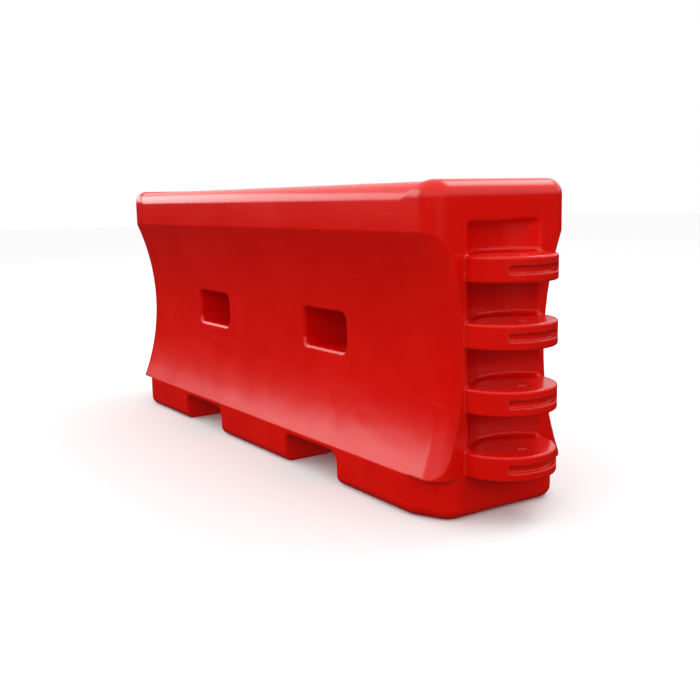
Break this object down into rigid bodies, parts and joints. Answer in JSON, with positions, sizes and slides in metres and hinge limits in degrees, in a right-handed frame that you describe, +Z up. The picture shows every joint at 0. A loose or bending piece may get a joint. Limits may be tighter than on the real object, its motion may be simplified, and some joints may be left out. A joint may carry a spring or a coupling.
{
  "type": "water filled barrier",
  "caption": "Hollow moulded road barrier with interleaving hinge lugs at both ends, side windows, fork passages, a filler cap and a drain plug.",
  "frame": {"origin": "middle of the footprint, on the ground", "axes": "+X along the barrier, +Y across it to the drain side, +Z up"},
  "size_m": [2.272, 0.476, 0.878],
  "materials": {
    "tank_shell": "glossy moulded polyethylene",
    "insert_plastic": "satin black nylon",
    "cap_plastic": "satin black polypropylene",
    "seal_rubber": "matte"
  },
  "bodies": {
    "tank": {"tank": "tank_shell", "filler_collar": "insert_plastic", "drain_insert": "insert_plastic"},
    "filler_seal": {"filler_seal": "seal_rubber"},
    "filler_cap": {"filler_cap": "cap_plastic"},
    "drain_seal": {"drain_seal": "seal_rubber"},
    "drain_plug": {"drain_plug": "cap_plastic"}
  },
  "joints": [
    {"name": "filler_lift", "type": "slide", "parent": "tank", "child": "filler_seal", "axis": [0, 0, 1], "range_m": [0, 0.016]},
    {"name": "filler_turn", "type": "hinge", "parent": "filler_seal", "child": "filler_cap", "pos_m": [0, 0, 0.84], "axis": [0, 0, 1], "range_deg": [0, 1440]},
    {"name": "drain_draw", "type": "slide", "parent": "tank", "child": "drain_seal", "axis": [0, 1, 0], "range_m": [0, 0.0115]},
    {"name": "drain_turn", "type": "hinge", "parent": "drain_seal", "child": "drain_plug", "pos_m": [0, 0.22, 0.071], "axis": [0, 1, 0], "range_deg": [0, 1800]}
  ],
  "couplings": [
    {"joint": "filler_lift", "follows": "filler_turn", "m_per_rad": 0.0006366},
    {"joint": "drain_draw", "follows": "drain_turn", "m_per_rad": 0.000366}
  ]
}
